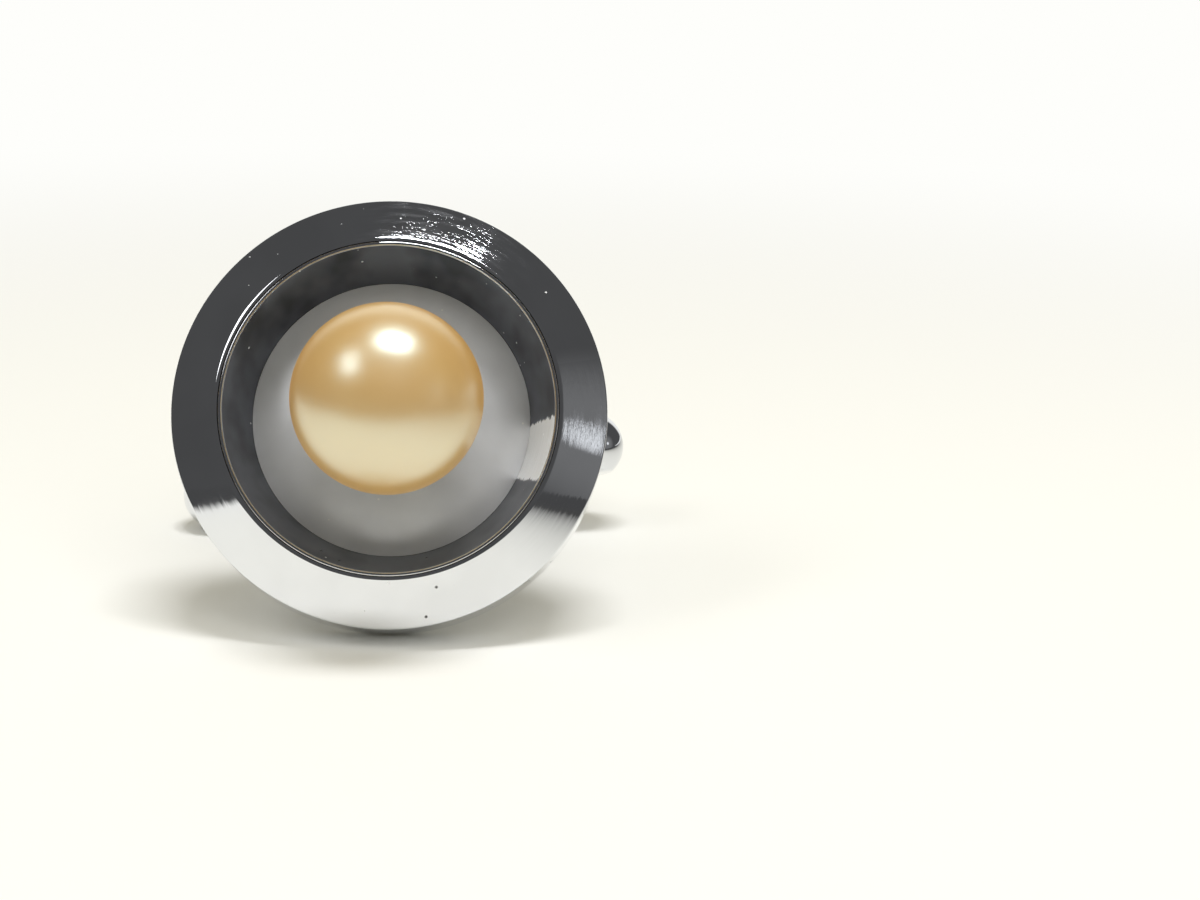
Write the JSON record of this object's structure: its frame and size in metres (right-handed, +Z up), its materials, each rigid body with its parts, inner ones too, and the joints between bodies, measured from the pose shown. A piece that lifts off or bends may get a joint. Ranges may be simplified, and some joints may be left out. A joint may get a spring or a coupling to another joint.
{
  "type": "cufflink",
  "caption": "Dress cufflink: a pearl over a satin dome in a polished bevelled dish, on a post with a swivel bar that folds in line with the post to pass a buttonhole.",
  "frame": {"origin": "on the table, under the middle of the link's own box, the link standing on the back edge of its rim, the end of its post and the left tip of its bar", "axes": "+Z up, -Y the way the face looks, +X to the right for a viewer in front of the face"},
  "size_m": [0.0218, 0.0236, 0.0182],
  "materials": {
    "polished_plate": "bright rhodium-coloured plate over brass, polished",
    "satin_plate": "the same plate, frosted to a fine satin",
    "spring_steel": "plain spring steel",
    "pearl_nacre": "golden cream nacre with a soft lustre"
  },
  "bodies": {
    "link": {"bezel_ring": "polished_plate", "dish_cup": "polished_plate", "satin_dome": "satin_plate", "pearl_seat": "polished_plate", "pearl": "pearl_nacre", "pearl_peg": "polished_plate", "back_plate": "polished_plate", "post_foot": "polished_plate", "post_frame": "polished_plate", "pivot_rivet": "polished_plate", "spring_washer": "spring_steel", "bearing_washer": "polished_plate"},
    "toggle": {"toggle_bar": "polished_plate"}
  },
  "joints": [
    {"name": "bar_swing", "type": "hinge", "parent": "link", "child": "toggle", "pos_m": [0, 0.00959, 0.00291], "axis": [-0.1432, 0.4169, 0.8976], "range_deg": [-90, 90]}
  ]
}
